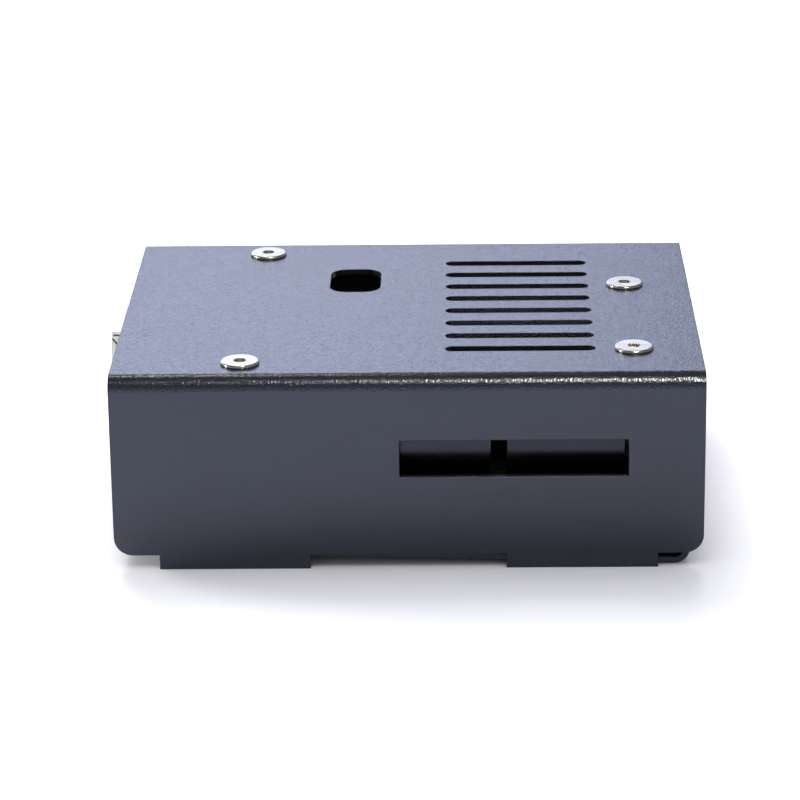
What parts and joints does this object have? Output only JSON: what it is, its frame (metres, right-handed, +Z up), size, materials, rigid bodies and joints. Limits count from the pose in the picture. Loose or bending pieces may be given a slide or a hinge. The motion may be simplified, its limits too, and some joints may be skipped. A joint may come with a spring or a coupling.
{
  "type": "development board case",
  "caption": "Two-piece folded sheet-steel case round a development board, with vent slots, a lamp window, pin slots and socket openings, held by screws through the top.",
  "frame": {"origin": "on the ground under the middle of the part's box", "axes": "+X from the end with the sockets to the plain end, +Y from the front wall to the back wall, +Z up"},
  "size_m": [0.0812, 0.0606, 0.0272],
  "materials": {
    "powder_coat": "fine textured satin black powder coat",
    "screw_steel": "turned bright nickel",
    "plated_steel": "zinc plated",
    "board_laminate": "green solder mask",
    "strip_plastic": "moulded satin black",
    "gilt_contact": "thin gilt",
    "socket_steel": "bright tinned sheet",
    "black_plastic": "moulded satin black",
    "chip_epoxy": "matt moulded epoxy",
    "tinned_lead": "bright tin",
    "can_aluminium": "drawn bright",
    "plunger_plastic": "moulded red",
    "lamp_resin": "clear resin",
    "fuse_coat": "dipped coat"
  },
  "bodies": {
    "case": {"cover": "powder_coat", "tray": "powder_coat", "standoffs": "plated_steel", "spacers": "plated_steel", "cover_screws": "screw_steel", "circuit_board": "board_laminate", "power_strip": "strip_plastic", "analog_strip": "strip_plastic", "digital_strip_low": "strip_plastic", "digital_strip_high": "strip_plastic", "strip_contacts": "gilt_contact", "usb_shell": "socket_steel", "usb_insulator": "black_plastic", "usb_contacts": "gilt_contact", "jack_body": "black_plastic", "jack_pin": "socket_steel", "jack_spring": "gilt_contact", "chip_socket": "black_plastic", "socket_pins": "gilt_contact", "controller_chip": "chip_epoxy", "controller_legs": "tinned_lead", "interface_chip": "chip_epoxy", "regulator_body": "chip_epoxy", "regulator_leads": "tinned_lead", "capacitor_bases": "black_plastic", "capacitor_cans": "can_aluminium", "crystal_can": "socket_steel", "switch_base": "black_plastic", "switch_plate": "socket_steel", "program_bases": "black_plastic", "program_pins": "gilt_contact", "indicator_lamps": "lamp_resin", "board_fuse": "fuse_coat", "power_diode": "chip_epoxy", "resistor_arrays": "chip_epoxy"},
    "plunger": {"reset_plunger": "plunger_plastic"}
  },
  "joints": [
    {"name": "reset_press", "type": "slide", "parent": "case", "child": "plunger", "axis": [-0.0241, 0, -0.9997], "range_m": [0, 0.00025], "stiffness_N_per_m": 4000}
  ]
}
